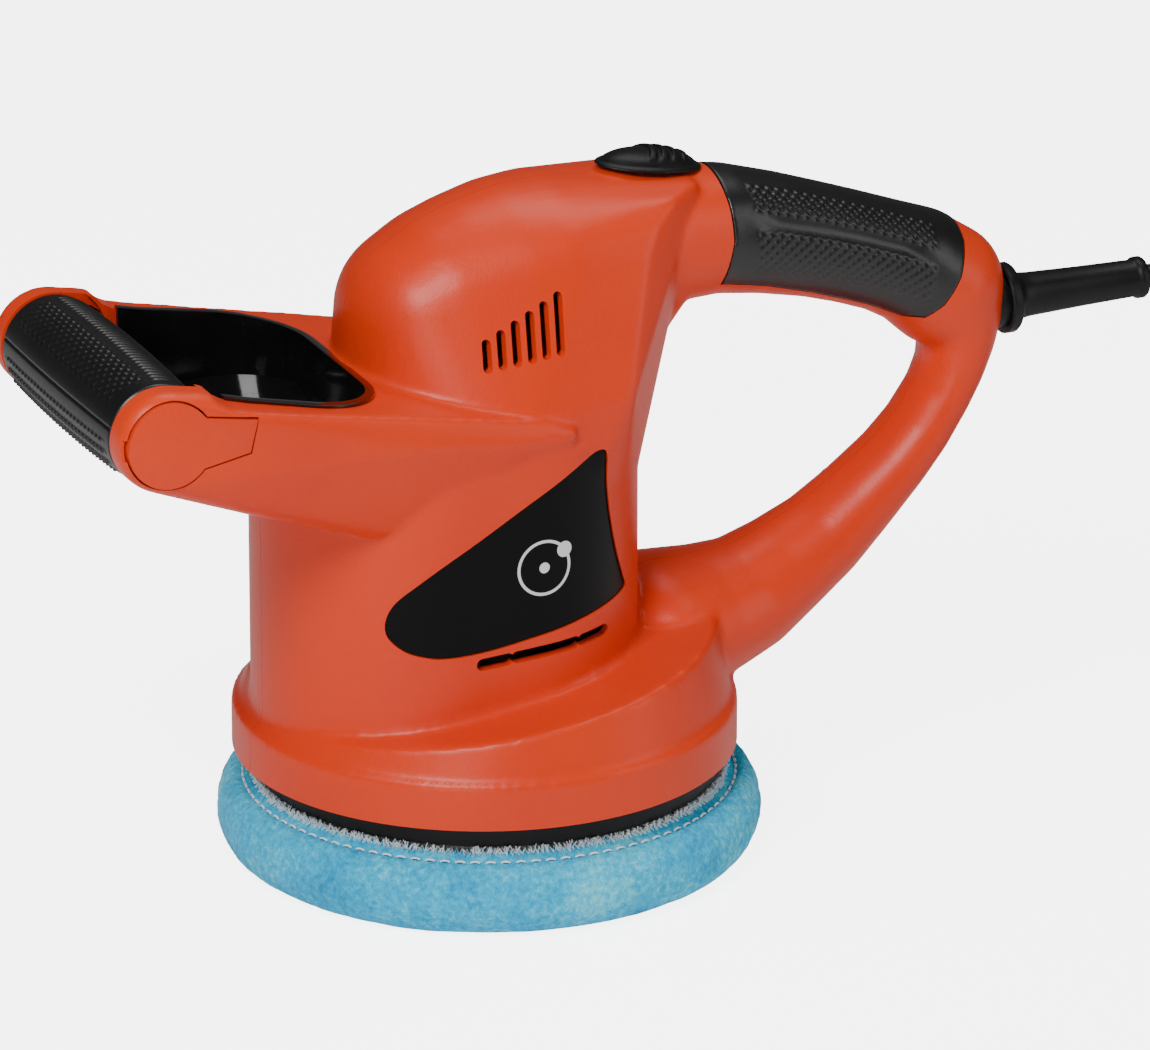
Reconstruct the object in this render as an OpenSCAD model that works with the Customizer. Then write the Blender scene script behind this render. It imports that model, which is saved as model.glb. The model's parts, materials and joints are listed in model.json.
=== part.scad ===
/* [Working head] */
// Radius of the polishing bonnet
bonnet_r = 82; // [78:0.5:84]
// Thickness of the fleece under the foam pad
fleece = 7; // [5:0.5:9]
// Height at which the hem of the bonnet closes over the platen
hem_z = 26; // [25.5:0.5:27]
// Radius of the backing platen
platen_r = 70; // [66:0.5:71]
// Offset of the pad axis from the motor axis, along X
orbit_x = 2.5; // [1:0.5:3]
// Offset of the pad axis from the motor axis, along Y
orbit_y = 2.5; // [1:0.5:3]

/* [Housing] */
// Radius of the skirt over the fan
skirt_r = 75.5; // [75:0.5:77]
// Height of the skirt's open rim above the work
skirt_z = 34.5; // [34:0.5:36]
// Height of the skirt's raised band
band_z = 48.5; // [46:0.5:50]
// Half width of the motor body
body_r = 47.5; // [47:0.5:49]
// Wall thickness of the two shells
wall = 2.8; // [2.4:0.1:3.2]

/* [Front handle] */
// Distance of the grip's axis in front of the motor axis
grip_x = 120; // [119:0.5:121]
// Height of the grip's axis
grip_z = 162.5; // [162:0.5:164]
// Radius of the grip
grip_r = 16.5; // [16:0.5:17]
// Half length of the grip between the two arms
grip_half = 43; // [41:0.5:43.5]
// Half width across the outer faces of the arms
arm_y = 53; // [52:0.5:54]

/* [Motor] */
// Radius of the armature
armature_r = 22; // [20:0.5:23]
// Length of the laminated core
core_len = 42; // [36:1:44]
// Height of the bottom of the laminated core
core_z = 80; // [79:0.5:82]

/* [Mains cord] */
// Diameter of the mains cord
cord_d = 7; // [6.5:0.1:7]

/* [Hidden] */
$fn = 48;

orange = [0.80, 0.26, 0.13];
black = [0.06, 0.06, 0.07];
steel = [0.70, 0.71, 0.73];
copper = [0.72, 0.38, 0.20];
blue = [0.25, 0.70, 0.86];

core_top = core_z + core_len;
liner_floor_z = 143;
liner_rim_z = 171;
button_x = 53;
button_z = 207;
button_tilt = 8;
exit_x = 216;
exit_z = 148;
coil_x = 311;
coil_y = 42;
coil_r = 42;
hub_z = 62;

// Route of the cord from the clamp to the coil: x, y, z
cord_route = [[155, 0, 148], [185, 0, 148], [216, 0, 148], [230, 0, 148], [242, 0, 145.5],
    [253, 0, 138.5], [260, 0, 128], [262, 0, 116], [262, 0, 95], [262, 0, 75], [262, 0, 54],
    [262, 0, 35.5], [262, 2.5, 23], [262, 9.5, 13], [262, 20, 6], [262, 32, 3.5],
    [262, 42, 3.5]];
// Route of the cord from the coil to the plug
tail_route = [[360, 42, 10.5], [360, 34, 10.5], [360, 22, 9.8], [360, 10, 8.4], [360, 2, 8]];

// ---------- helpers ----------

// Ball squashed to its own half width across Y
module blob(x, z, r, w, y = 0) {
    translate([x, y, z]) scale([1, w / r, 1]) sphere(r);
}

// Upright disc
module disc(x, y, z, r, h) {
    translate([x, y, z]) cylinder(r = r, h = h);
}

// Ring standing on z
module ring(z, h, outer, inner) {
    translate([0, 0, z]) difference() {
        cylinder(r = outer, h = h);
        translate([0, 0, -1]) cylinder(r = inner, h = h + 2);
    }
}

// Cylinder along Y
module ybar(x, y, z, r, h, sides = $fn) {
    translate([x, y, z]) rotate([-90, 0, 0]) cylinder(r = r, h = h, $fn = sides);
}

// Vector a turned square to t
function squared(a, t) = let (v = a - (a * t) * t) v / norm(v);

// Tube swept along points with n sides, its section carried along without twist
module swept(path, r, n) {
    last = len(path) - 1;
    dir = function(i) let (a = path[min(i + 1, last)] - path[max(i - 1, 0)]) a / norm(a);
    sides = [for (i = 0, a = squared([0, 1, 0.2], dir(0)); i <= last;
        i = i + 1, a = squared(a, dir(min(i, last)))) a];
    points = [for (i = [0:last]) let (a = sides[i], b = cross(dir(i), a))
        for (k = [0:n - 1]) path[i] + r * (cos(360 * k / n) * a + sin(360 * k / n) * b)];
    walls = [for (i = [0:last - 1], k = [0:n - 1]) let (m = (k + 1) % n)
        [i * n + k, (i + 1) * n + k, (i + 1) * n + m, i * n + m]];
    polyhedron(points, concat([[for (k = [0:n - 1]) k]], walls,
        [[for (k = [n - 1:-1:0]) last * n + k]]));
}

// Keeps what lies on one side of the middle plane: -1 left, 1 right
module half(side) {
    intersection() {
        children();
        translate([-200, side < 0 ? -200 : 0, -10]) cube([500, 200, 300]);
    }
}

// ---------- housing shape, t is how far the surface lies inside the outside ----------

module skirt(t) {
    $fn = t > 0 ? 32 : 56;
    hull() {
        disc(0, 0, skirt_z - (t > 0 ? 5 : 0), skirt_r - t, band_z - skirt_z);
        translate([0, 0, 59]) rotate([0, -7, 0]) cylinder(r = skirt_r - 5 - t, h = 6 - t);
    }
}

module column(t) {
    hull() {
        disc(-24, 0, 56, body_r - t, 84);
        disc(-2, 0, 56, body_r - t, 84);
    }
    hull() {
        disc(-24, 0, 120, body_r - t, 20);
        disc(-3, 0, 120, body_r - t, 31);
        blob(-19, 171.5, 26 - t, 30 - t);
        blob(-2, 177, 28.5 - t, 32 - t);
        blob(18, 186.5, 22 - t, 33 - t);
        blob(38, 187, 21 - t, 30 - t);
    }
}

module handle_chain(t, path) {
    for (i = [0:len(path) - 2])
        hull() {
            blob(path[i][0], path[i][1], path[i][2] - t, path[i][3] - t);
            blob(path[i + 1][0], path[i + 1][1], path[i + 1][2] - t, path[i + 1][3] - t);
        }
}

// x, z, half height, half width along the D-handle
top_bar = [[40, 185.5, 22.5, 24], [74, 184, 19.5, 19], [106, 176, 17, 17.5], [130, 167.5, 17, 17],
    [150, 155.5, 19, 17]];
rear_bar = [[150, 156, 19, 17], [155, 140, 12, 14], [149, 122, 9, 14], [134, 102, 10, 15],
    [110, 81, 13, 17], [84, 66, 17, 22], [58, 62, 22, 30]];

module nose(t) {
    hull() {
        for (s = [-1, 1]) {
            translate([-grip_x, s * (arm_y - 12), grip_z - 0.5]) rotate([-90 * s, 0, 0])
                cylinder(r = 15.2 - t, h = 12 - t);
            blob(-66, 151, 13 - t, 14 - t, s * (arm_y - 13));
            blob(2, 145.5, 6 - t, 6 - t, s * (arm_y - 10));
            blob(-50, 136, 17 - t, 16 - t, s * 32);
            blob(-84, 146, 15 - t, 16 - t, s * 31);
        }
        blob(-104, 152, 15 - t, 30 - t);
        blob(-76, 144, 17 - t, 28 - t);
        blob(-42, 138, 17 - t, 34 - t);
        blob(-30, 152, 9.5 - t, 44 - t);
    }
}

module shell_outside(t = 0) {
    $fn = t > 0 ? 14 : 24;
    skirt(t);
    column(t);
    handle_chain(t, top_bar);
    handle_chain(t, rear_bar);
    nose(t);
}

// Finger bowl between the arms and the body
module bowl(t, z0, z1) {
    hull()
        for (s = [-1, 1]) {
            disc(-70, 20 * s, z0, 24 - t, z1 - z0);
            disc(-100, 33 * s, z0, 9 - t, z1 - z0);
        }
}

module vent_slots(side) {
    for (i = [0:5])
        hull() for (z = [165 + 0.6 * i, 171.7 + 2.3 * i])
            ybar(-14.5 + 4.4 * i + (z - 165) * 0.09, side < 0 ? -60 : 20, z, 1.2, 40, 10);
    for (i = [0:2])
        hull() for (x = [1, 11])
            ybar(-24 + 15 * i + x, side < 0 ? -60 : 30, 78, 1.6, 30, 10);
}

module badge_outline(h, grow) {
    $fn = 20;
    linear_extrude(h) offset(r = grow) hull() {
        translate([-39, 88]) circle(8);
        translate([-26, 107]) circle(10);
        translate([20, 132]) circle(4);
        translate([28, 93]) circle(3);
        translate([-30, 83]) circle(3);
    }
}

module badge_space(side, deep, grow) {
    intersection() {
        rotate([90, 0, 0]) translate([0, 0, side < 0 ? 0 : -80])
            badge_outline(80, grow);
        difference() {
            column(-1);
            column(deep);
        }
    }
}

module screw_bosses() {
    for (p = screw_spots) ybar(p[0], -48, p[1], 4.5, 96, 14);
}

// Screws that hold the two shells together: x, z
screw_spots = [[-62, 86], [-62, 116], [33, 142], [-30, 186], [84, 184], [148, 148], [120, 93],
    [70, 62]];

module housing(side) {
    $fn = 24;
    color(orange) half(side) difference() {
        union() {
            difference() {
                shell_outside();
                shell_outside(wall);
            }
            intersection() {
                shell_outside(1);
                union() {
                    screw_bosses();
                    translate([0, 0, 148]) linear_extrude(11) square([110, 36], center = true);
                    translate([155, -10, 138]) cube([5, 20, 13.6]);
                    translate([0, 0, 65.8]) linear_extrude(5) difference() {
                        square([160, 160], center = true);
                        circle(r = 36);
                    }
                    bowl(-2, liner_floor_z - 2.6, 190);
                }
            }
        }
        translate([0, 0, 20]) cylinder(r = skirt_r - wall, h = 30);
        translate([0, 0, 60]) cylinder(r = 43.8, h = 5.8);
        translate([0, 0, 140]) cylinder(r = 6, h = 30);
        translate([0, 0, 149]) cylinder(r = 11.1, h = 7.5, $fn = 64);
        bowl(0.3, liner_floor_z - 0.3, 200);
        ybar(-grip_x, -grip_half - 0.3, grip_z, grip_r + 1.5, 2 * grip_half + 0.6);
        translate([-150, -grip_half - 0.3, 140]) cube([30, 2 * grip_half + 0.6, 60]);
        for (s = [-1, 1]) {
            ybar(-grip_x, s < 0 ? -arm_y - 10 : arm_y - 4.6, grip_z, 13.3, 14.6);
            translate([-110, s < 0 ? -arm_y - 10 : arm_y - 4.6, grip_z - 5.8]) cube([17.4, 14.6, 11.6]);
        }
        ybar(-grip_x, -70, grip_z, 2.6, 140);
        translate([140, 0, exit_z]) rotate([0, 90, 0]) cylinder(r = cord_d / 2 + 0.2, h = 30);
        for (s = [-1, 1]) translate([157.5, s * 6.6, 144]) cylinder(r = 1.3, h = 10, $fn = 14);
        for (p = screw_spots) {
            ybar(p[0], -11, p[1], 1.75, 30.5, 14);
            ybar(p[0], 12, p[1], 3.7, 60, 14);
        }
        vent_slots(side);
        badge_space(side, 1.4, 0.4);
        button_slot();
        translate([160, 0, exit_z]) rotate([0, 90, 0]) cylinder(r = 9, h = 30);
        translate([160, 0, exit_z]) rotate([0, 90, 0]) cylinder(r = 10.1, h = 3.2);
        difference() {
            rear_grip_zone();
            shell_outside(1.6);
        }
    }
}

module button_slot() {
    translate([button_x, 0, button_z]) rotate([0, button_tilt, 0])
        translate([-10, -4, -14]) cube([20, 8, 20]);
}

// Space taken by the rear grip around the top bar
module rear_grip_zone() {
    rotate([90, 0, 0]) linear_extrude(80, center = true)
        polygon([[72, 215], [69, 174], [132, 152], [139, 151], [144, 155], [152, 168], [156, 184], [154, 215]]);
}

module rear_grip() {
    color(black) difference() {
        intersection() {
            rear_grip_zone();
            shell_outside();
        }
        shell_outside(1.5);
    }
}

module housing_left() { housing(-1); }
module housing_right() { housing(1); }

module badge(side) {
    color(black) badge_space(side, 1.2, -0.1);
}
module badge_left() { badge(-1); }
module badge_right() { badge(1); }

// ---------- front handle ----------

module front_liner() {
    color(black) difference() {
        bowl(0.5, liner_floor_z, 176);
        translate([-104, -60, liner_rim_z + 0.5]) rotate([0, 11.3, 0]) cube([120, 120, 40]);
        bowl(2, liner_floor_z + 1.5, 190);
        ybar(-grip_x, -60, grip_z, grip_r + 1, 120);
    }
}

module front_grip_core() {
    color(steel) difference() {
        ybar(-grip_x, -grip_half, grip_z, 8, 2 * grip_half);
        ybar(-grip_x, -grip_half - 1, grip_z, 2.2, 2 * grip_half + 2);
    }
}

module grip_half_shell(a) {
    color(black) difference() {
        translate([-grip_x, 0, grip_z]) rotate([-90, 0, 0]) rotate([0, 0, a])
            rotate_extrude(angle = 179.6)
                polygon([[8.05, -grip_half], [grip_r - 1.2, -grip_half], [grip_r - 0.3, -grip_half / 2],
                    [grip_r, 0], [grip_r - 0.3, grip_half / 2], [grip_r - 1.2, grip_half],
                    [8.05, grip_half]]);
    }
}
module front_grip_upper() { grip_half_shell(195.2); }
module front_grip_lower() { grip_half_shell(15.2); }

module grip_screws() {
    color(steel) for (s = [-1, 1]) scale([1, s, 1]) {
        ybar(-grip_x, grip_half - 18, grip_z, 2.15, 21);
        ybar(-grip_x, arm_y - 7.2, grip_z, 5, 2.5);
    }
}

module screw_cap(s) {
    color(orange) scale([1, s, 1]) {
        ybar(-grip_x, arm_y - 4.2, grip_z, 13, 3.6);
        translate([-109, arm_y - 4.2, grip_z - 5.5]) cube([16, 3.6, 11]);
    }
}
module screw_cap_left() { screw_cap(-1); }
module screw_cap_right() { screw_cap(1); }

module housing_screws() {
    color(steel) for (p = screw_spots) {
        ybar(p[0], -10, p[1], 1.55, 22);
        ybar(p[0], 12, p[1], 3.4, 2.5);
    }
}

// ---------- switch and wiring ----------

module switch_button() {
    color(black) translate([button_x, 0, button_z]) rotate([0, button_tilt, 0]) {
        difference() {
            scale([1.7, 1, 0.5]) sphere(10);
            translate([-30, -30, -60]) cube([60, 60, 60]);
        }
        for (i = [0:3]) translate([-1 + 3.4 * i, -5, 2]) cube([1.6, 10, 3.6 - 0.35 * i]);
        translate([-4, -2.5, -12]) cube([8, 5, 12.5]);
    }
}

module switch_body() {
    color([0.12, 0.12, 0.13]) difference() {
        translate([button_x, 0, button_z]) rotate([0, button_tilt, 0]) translate([-16, -8, -32])
            cube([32, 16, 18]);
        translate([button_x, 0, button_z]) rotate([0, button_tilt, 0]) translate([-10, -4, -18])
            cube([20, 8, 8]);
    }
}

module wire_run(path, tint) {
    color(tint) swept(path, 1.1, 8);
}

module supply_wires() {
    for (s = [-1, 1])
        wire_run([[153.6, s * 2, 149], [151, s * 3, 156], [141, s * 3, 163], [125, s * 3, 168],
            [105, s * 3, 172], [84, s * 3, 175.5], [70, s * 3, 178]],
            s < 0 ? [0.1, 0.1, 0.1] : [0.85, 0.85, 0.85]);
}

module motor_wires() {
    for (s = [-1, 1])
        wire_run([[31, s * 4, 175], [29, s * 10, 170], [25, s * 22, 162], [18, s * 27, 152],
            [9, s * 29, 146], [3, s * 30, 143.7]],
            s < 0 ? [0.1, 0.1, 0.1] : [0.85, 0.85, 0.85]);
}

// ---------- cord ----------

module cord_clamp() {
    color(black) difference() {
        translate([155, -9, 151.6]) cube([5, 18, 3]);
        for (s = [-1, 1]) translate([157.5, s * 6.6, 150]) cylinder(r = 1.3, h = 6);
    }
}
module cord_clamp_screws() {
    color(steel) for (s = [-1, 1]) translate([157.5, s * 6.6, 0]) {
        translate([0, 0, 154.6]) cylinder(r = 2.3, h = 1.8);
        translate([0, 0, 146]) cylinder(r = 1.2, h = 8.6);
    }
}

module strain_relief() {
    color(black) translate([0, 0, exit_z]) rotate([0, 90, 0]) rotate_extrude()
        polygon([[3.6, 161], [9.8, 161], [9.8, 163], [8.8, 163], [8.8, 169.2], [10.75, 169.2],
            [10.75, 173], [7.5, 174.5], [6.6, 177], [5.8, 214], [6.4, 215], [6.4, 217.5], [3.6, 217.5]]);
}

module power_cord() { color(black) swept(cord_route, cord_d / 2, 12); }
module cord_tail() { color(black) swept(tail_route, cord_d / 2, 12); }

module cord_coil() {
    color(black) translate([coil_x, coil_y, 0]) rotate_extrude()
        translate([coil_r - 1.5 * cord_d, 0]) square([3 * cord_d, 2 * cord_d]);
}

module cord_tie() {
    color(black) translate([coil_x, coil_y, 0]) rotate([0, 0, 60])
        translate([coil_r, 0, 0]) difference() {
            translate([-12.2, -2.5, 0]) cube([24.4, 5, 15.4]);
            translate([-10.55, -3, -1]) cube([21.1, 6, 15.1]);
        }
}

module plug_body() {
    color(black) translate([360, 4, 8]) rotate([90, 0, 0]) hull() {
        translate([0, 0, 0]) cylinder(r = 6, h = 4);
        for (s = [-1, 1]) translate([s * 5, 0, 16]) cylinder(r = 8, h = 18);
    }
}

module plug_blades() {
    color([0.8, 0.7, 0.4]) for (s = [-1, 1])
        translate([360 + s * 6.35 - 0.75, -47, 4.8]) cube([1.5, 17.2, 6.4]);
}

// ---------- motor ----------

module stator_core() {
    color([0.45, 0.46, 0.48]) translate([0, 0, core_z]) difference() {
        intersection() {
            cylinder(r = 34, h = core_len);
            translate([-33, -28, 0]) cube([66, 56, core_len]);
        }
        translate([0, 0, -1]) cylinder(r = armature_r + 0.6, h = core_len + 2);
        for (s = [-1, 1]) translate([s * 24, 0, -1]) cylinder(r = 6.5, h = core_len + 2);
        for (s = [-1, 1]) translate([0, s * 25.2, -1]) cylinder(r = 1.8, h = core_len + 2);
    }
}

module field_coil(s) {
    color(copper) scale([s, 1, 1]) {
        translate([27.6, 0, core_z - 6]) cylinder(r = 2.5, h = core_len + 12);
        for (z = [core_z - 6.2, core_top + 0.2]) translate([0, 0, z]) difference() {
            cylinder(r = 30, h = 6);
            translate([0, 0, -1]) cylinder(r = 24, h = 8);
            translate([-60, -40, -1]) cube([70, 80, 8]);
        }
    }
}
module field_coil_front() { field_coil(-1); }
module field_coil_rear() { field_coil(1); }

module stator_screws() {
    color(steel) for (s = [-1, 1]) translate([0, s * 25.2, 0]) {
        translate([0, 0, 72]) cylinder(r = 1.7, h = core_top - 72);
        translate([0, 0, core_top]) cylinder(r = 2.7, h = 2.4);
    }
}

module brush_holders() {
    color([0.35, 0.2, 0.12]) for (s = [-1, 1]) scale([1, s, 1]) difference() {
        translate([-5.5, 15, 131.5]) cube([11, 22, 11]);
        translate([-3.1, 14, 133.9]) cube([6.2, 21.5, 6.2]);
    }
}
module brushes() {
    color([0.2, 0.2, 0.2]) for (s = [-1, 1]) scale([1, s, 1]) difference() {
        translate([-3, 12, 134]) cube([6, 13, 6]);
        translate([0, 0, 130]) cylinder(r = 13.35, h = 14);
    }
}
module brush_springs() {
    color(steel) for (s = [-1, 1]) scale([1, s, 1]) for (i = [0:3])
        translate([0, 25.6 + i * 2.4, 137]) rotate([90, 0, 0])
            rotate_extrude() translate([2.2, 0]) circle(0.4);
}

// ---------- bearings: place, outer radius, bore radius, width ----------

module bearing_outer(z, ro, ri, h) {
    color(steel) ring(z, h, ro, (ro + ri) / 2 + (ro - ri) * 0.22);
}
module bearing_inner(z, ro, ri, h) {
    color(steel) ring(z, h, (ro + ri) / 2 - (ro - ri) * 0.22, ri);
}
module bearing_balls(z, ro, ri, h, n) {
    gap = (ro - ri) * 0.22;
    color(steel) {
        for (i = [0:n - 1]) rotate([0, 0, 360 * i / n]) translate([(ro + ri) / 2, 0, z + h / 2])
            sphere(gap - 0.12);
        ring(z + h / 2 - 0.6, 1.2, (ro + ri) / 2 + 0.7, (ro + ri) / 2 - 0.7);
    }
}

module upper_bearing_outer() { bearing_outer(149.2, 11, 4, 7); }
module upper_bearing_balls() { bearing_balls(149.2, 11, 4, 7, 7); }
module upper_bearing_inner() { bearing_inner(149.2, 11, 4, 7); }
module lower_bearing_outer() { bearing_outer(hub_z, 14, 6, 8); }
module lower_bearing_balls() { bearing_balls(hub_z, 14, 6, 8, 8); }
module lower_bearing_inner() { bearing_inner(hub_z, 14, 6, 8); }
module at_pad() { translate([orbit_x, orbit_y, 0]) children(); }
module pad_bearing_outer() { at_pad() bearing_outer(38, 13, 5, 8); }
module pad_bearing_balls() { at_pad() bearing_balls(38, 13, 5, 8, 8); }
module pad_bearing_inner() { at_pad() bearing_inner(38, 13, 5, 8); }

module bearing_plate() {
    color([0.6, 0.61, 0.63]) difference() {
        union() {
            disc(0, 0, hub_z, 43.5, 3.5);
            disc(0, 0, hub_z, 18, 9.5);
        }
        translate([0, 0, hub_z - 1]) cylinder(r = 10, h = 12);
        translate([0, 0, hub_z - 1]) cylinder(r = 14.02, h = 9.02);
        for (i = [0:7]) rotate([0, 0, 45 * i + 22.5]) translate([28, 0, hub_z - 1])
            cylinder(r = 7, h = 6);
        for (s = [-1, 1]) translate([0, s * 25.2, hub_z - 1]) cylinder(r = 1.75, h = 12);
        for (a = [0:90:270]) rotate([0, 0, a + 45]) translate([40, 0, hub_z - 1])
            cylinder(r = 1.8, h = 6);
    }
}
module bearing_plate_screws() {
    color(steel) for (a = [0:90:270]) rotate([0, 0, a + 45]) translate([40, 0, 0]) {
        translate([0, 0, 60.3]) cylinder(r = 3.2, h = 1.7);
        translate([0, 0, hub_z]) cylinder(r = 1.75, h = 3.4);
    }
}

// ---------- rotor ----------

module motor_shaft() {
    color(steel) {
        disc(0, 0, 50, 5.98, 24);
        disc(0, 0, 74, 5, 75);
        disc(0, 0, 149, 3.98, 8.5);
    }
}
module armature_core() {
    color([0.4, 0.41, 0.43]) difference() {
        ring(core_z, core_len, armature_r, 5.02);
        for (i = [0:11]) rotate([0, 0, 30 * i]) translate([armature_r - 3.2, -1.1, core_z - 1])
            cube([5, 2.2, core_len + 2]);
    }
}
module armature_windings() {
    color(copper) {
        ring(core_z - 5, 4.9, 17.5, 5.05);
        ring(core_top + 0.1, 5.9, 17.5, 5.05);
        for (i = [0:11]) rotate([0, 0, 30 * i]) translate([armature_r - 3.1, -1, core_z])
            cube([2.4, 2, core_len]);
    }
}
module commutator() {
    color(copper) difference() {
        ring(129, 15, 13, 5.05);
        for (i = [0:23]) rotate([0, 0, 15 * i]) translate([12, -0.25, 130.5]) cube([3, 0.5, 15]);
    }
}

foam_r = bonnet_r - 16;
fan_r = 51;
module fan_counterweight() {
    color([0.62, 0.63, 0.65]) difference() {
        union() {
            disc(0, 0, 47, fan_r, 2);
            disc(0, 0, 47, 16, 13);
            at_pad() disc(0, 0, 37.6, 18, 11);
            for (i = [0:11]) rotate([0, 0, 30 * i]) translate([24, -0.8, 48]) cube([fan_r - 25, 1.6, 6.5]);
            intersection() {
                disc(0, 0, 40, 46, 8);
                rotate([0, 0, atan2(-orbit_y, -orbit_x)]) translate([24, -60, 30]) cube([60, 120, 30]);
            }
        }
        disc(0, 0, 49.5, 6.02, 20);
        disc(0, 0, 46, 2.5, 4);
        at_pad() disc(0, 0, 30, 13.02, 16.2);
    }
}
module drive_bolt() {
    color(steel) {
        disc(0, 0, 46.3, 2.45, 3.7);
    }
}

// ---------- pad ----------

module pad_spindle() {
    color(steel) at_pad() difference() {
        union() {
            disc(0, 0, 34, 15, 2.5);
            disc(0, 0, 36.5, 6.5, 1.5);
            disc(0, 0, 38, 4.98, 7.8);
        }
        disc(0, 0, 33, 2.5, 10);
    }
}
module platen() {
    color(black) at_pad() difference() {
        union() {
            disc(0, 0, hem_z, platen_r, 5);
            disc(0, 0, hem_z, 22, 8);
            for (i = [0:11]) rotate([0, 0, 30 * i]) translate([18, -1, hem_z + 4]) cube([49, 2, 3]);
            ring(hem_z + 4, 3, platen_r - 2, platen_r - 4);
        }
        disc(0, 0, hem_z - 1, 3.1, 12);
    }
}
module platen_bolt() {
    color(steel) at_pad() {
        disc(0, 0, 22, 6, 4);
        disc(0, 0, 26, 2.45, 15);
    }
}
module foam_pad() {
    color([0.85, 0.82, 0.7]) at_pad() difference() {
        disc(0, 0, fleece + 1, foam_r, hem_z - fleece - 1);
        disc(0, 0, 20, 9, 20);
    }
}
module bonnet() {
    color(blue) at_pad() rotate_extrude() difference() {
        union() {
            square([bonnet_r - 12, 9]);
            translate([bonnet_r - 12, 12]) circle(12);
            translate([bonnet_r - 19, 12]) square([9, hem_z - 12.4]);
        }
        translate([-1, fleece + 0.7]) square([foam_r + 1.3, 40]);
        translate([-50, -10]) square([50, 60]);
    }
}

housing_left();
housing_right();
front_liner();
front_grip_core();
front_grip_upper();
front_grip_lower();
grip_screws();
screw_cap_left();
screw_cap_right();
rear_grip();
badge_left();
badge_right();
housing_screws();
switch_button();
switch_body();
supply_wires();
motor_wires();
cord_clamp();
cord_clamp_screws();
strain_relief();
power_cord();
cord_coil();
cord_tail();
cord_tie();
plug_body();
plug_blades();
stator_core();
field_coil_front();
field_coil_rear();
stator_screws();
brush_holders();
brushes();
brush_springs();
upper_bearing_outer();
upper_bearing_balls();
upper_bearing_inner();
bearing_plate();
bearing_plate_screws();
lower_bearing_outer();
lower_bearing_balls();
lower_bearing_inner();
motor_shaft();
armature_core();
armature_windings();
commutator();
fan_counterweight();
drive_bolt();
pad_bearing_outer();
pad_bearing_balls();
pad_bearing_inner();
pad_spindle();
platen();
platen_bolt();
foam_pad();
bonnet();
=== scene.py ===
"""Looks of the dual action polisher, built round its CAD frame. Lengths are in metres, +X is to the rear."""
import json
import math
import random

import bpy
from mathutils import Matrix, Vector
from mathutils import noise as mathutils_noise


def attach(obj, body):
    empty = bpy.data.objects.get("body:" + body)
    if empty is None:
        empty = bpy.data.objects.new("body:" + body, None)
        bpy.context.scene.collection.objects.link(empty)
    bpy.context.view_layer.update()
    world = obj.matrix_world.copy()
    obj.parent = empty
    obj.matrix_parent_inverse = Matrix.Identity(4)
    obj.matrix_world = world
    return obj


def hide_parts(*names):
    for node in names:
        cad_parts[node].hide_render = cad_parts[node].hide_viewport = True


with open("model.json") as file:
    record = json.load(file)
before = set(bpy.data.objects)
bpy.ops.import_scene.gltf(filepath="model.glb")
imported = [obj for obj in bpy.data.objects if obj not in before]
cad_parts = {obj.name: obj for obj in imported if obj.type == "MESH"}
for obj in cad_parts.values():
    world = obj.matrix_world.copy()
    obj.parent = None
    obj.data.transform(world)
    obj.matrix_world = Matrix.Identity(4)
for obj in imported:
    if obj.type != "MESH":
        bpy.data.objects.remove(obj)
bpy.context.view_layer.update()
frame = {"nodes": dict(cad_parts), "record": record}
MM = 0.001

# Driving sizes, in millimetres, as the frame has them
SKIRT_R, SKIRT_Z, BAND_Z = 75.5, 34.5, 48.5
WALL = 2.6
GRIP_X, GRIP_Z, GRIP_R, GRIP_HALF = -120.0, 162.5, 16.5, 43.0
ARM_Y = 53.0
LINER_FLOOR = 143.0
PAD = (2.5, 2.5)
CORD_R, CORD_LENGTH, CORD_EXIT_X = 3.5, 1.8, 173.0  # the length is in metres
EXIT = (216.0, 0.0, 148.0)
COIL, COIL_OUTER_R, COIL_STEP = (311.0, 42.0), 49, 7
LAYER_Z, LAYER_STEP = 3.7, 6.9
PLUG_X, PLUG_Z = 360, 8.0
BUTTON, BUTTON_TILT = (53, 0, 207), 8


# ---------- camera, floor and light ----------

def make_camera():
    """A long lens, a little above the tool, to the left of its front."""
    azimuth, height, distance = math.radians(-24), math.radians(21), 3.0
    back = Vector((math.sin(azimuth) * math.cos(height), -math.cos(azimuth) * math.cos(height), math.sin(height)))
    right = Vector((math.cos(azimuth), math.sin(azimuth), 0))
    up = back.cross(right)
    target = Vector((29.6, 0, 96.7)) * MM
    data = bpy.data.cameras.new("camera")
    camera = bpy.data.objects.new("camera", data)
    bpy.context.scene.collection.objects.link(camera)
    turn = Matrix((right, up, back)).transposed()
    camera.matrix_world = Matrix.Translation(target + back * distance) @ turn.to_4x4()
    data.sensor_width = 36
    data.lens = 36 * distance / (1150 / 3.36 * MM)
    data.clip_end = 50
    bpy.context.scene.camera = camera


def area_light(name, place, size, power, target=(0, 0, 0.1), colour=(1, 1, 1)):
    data = bpy.data.lights.new(name, "AREA")
    data.shape = "RECTANGLE"
    data.size, data.size_y = size
    data.energy = power
    data.color = colour
    light = bpy.data.objects.new(name, data)
    bpy.context.scene.collection.objects.link(light)
    light.location = place
    light.rotation_euler = (Vector(target) - Vector(place)).to_track_quat("-Z", "Y").to_euler()


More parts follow.
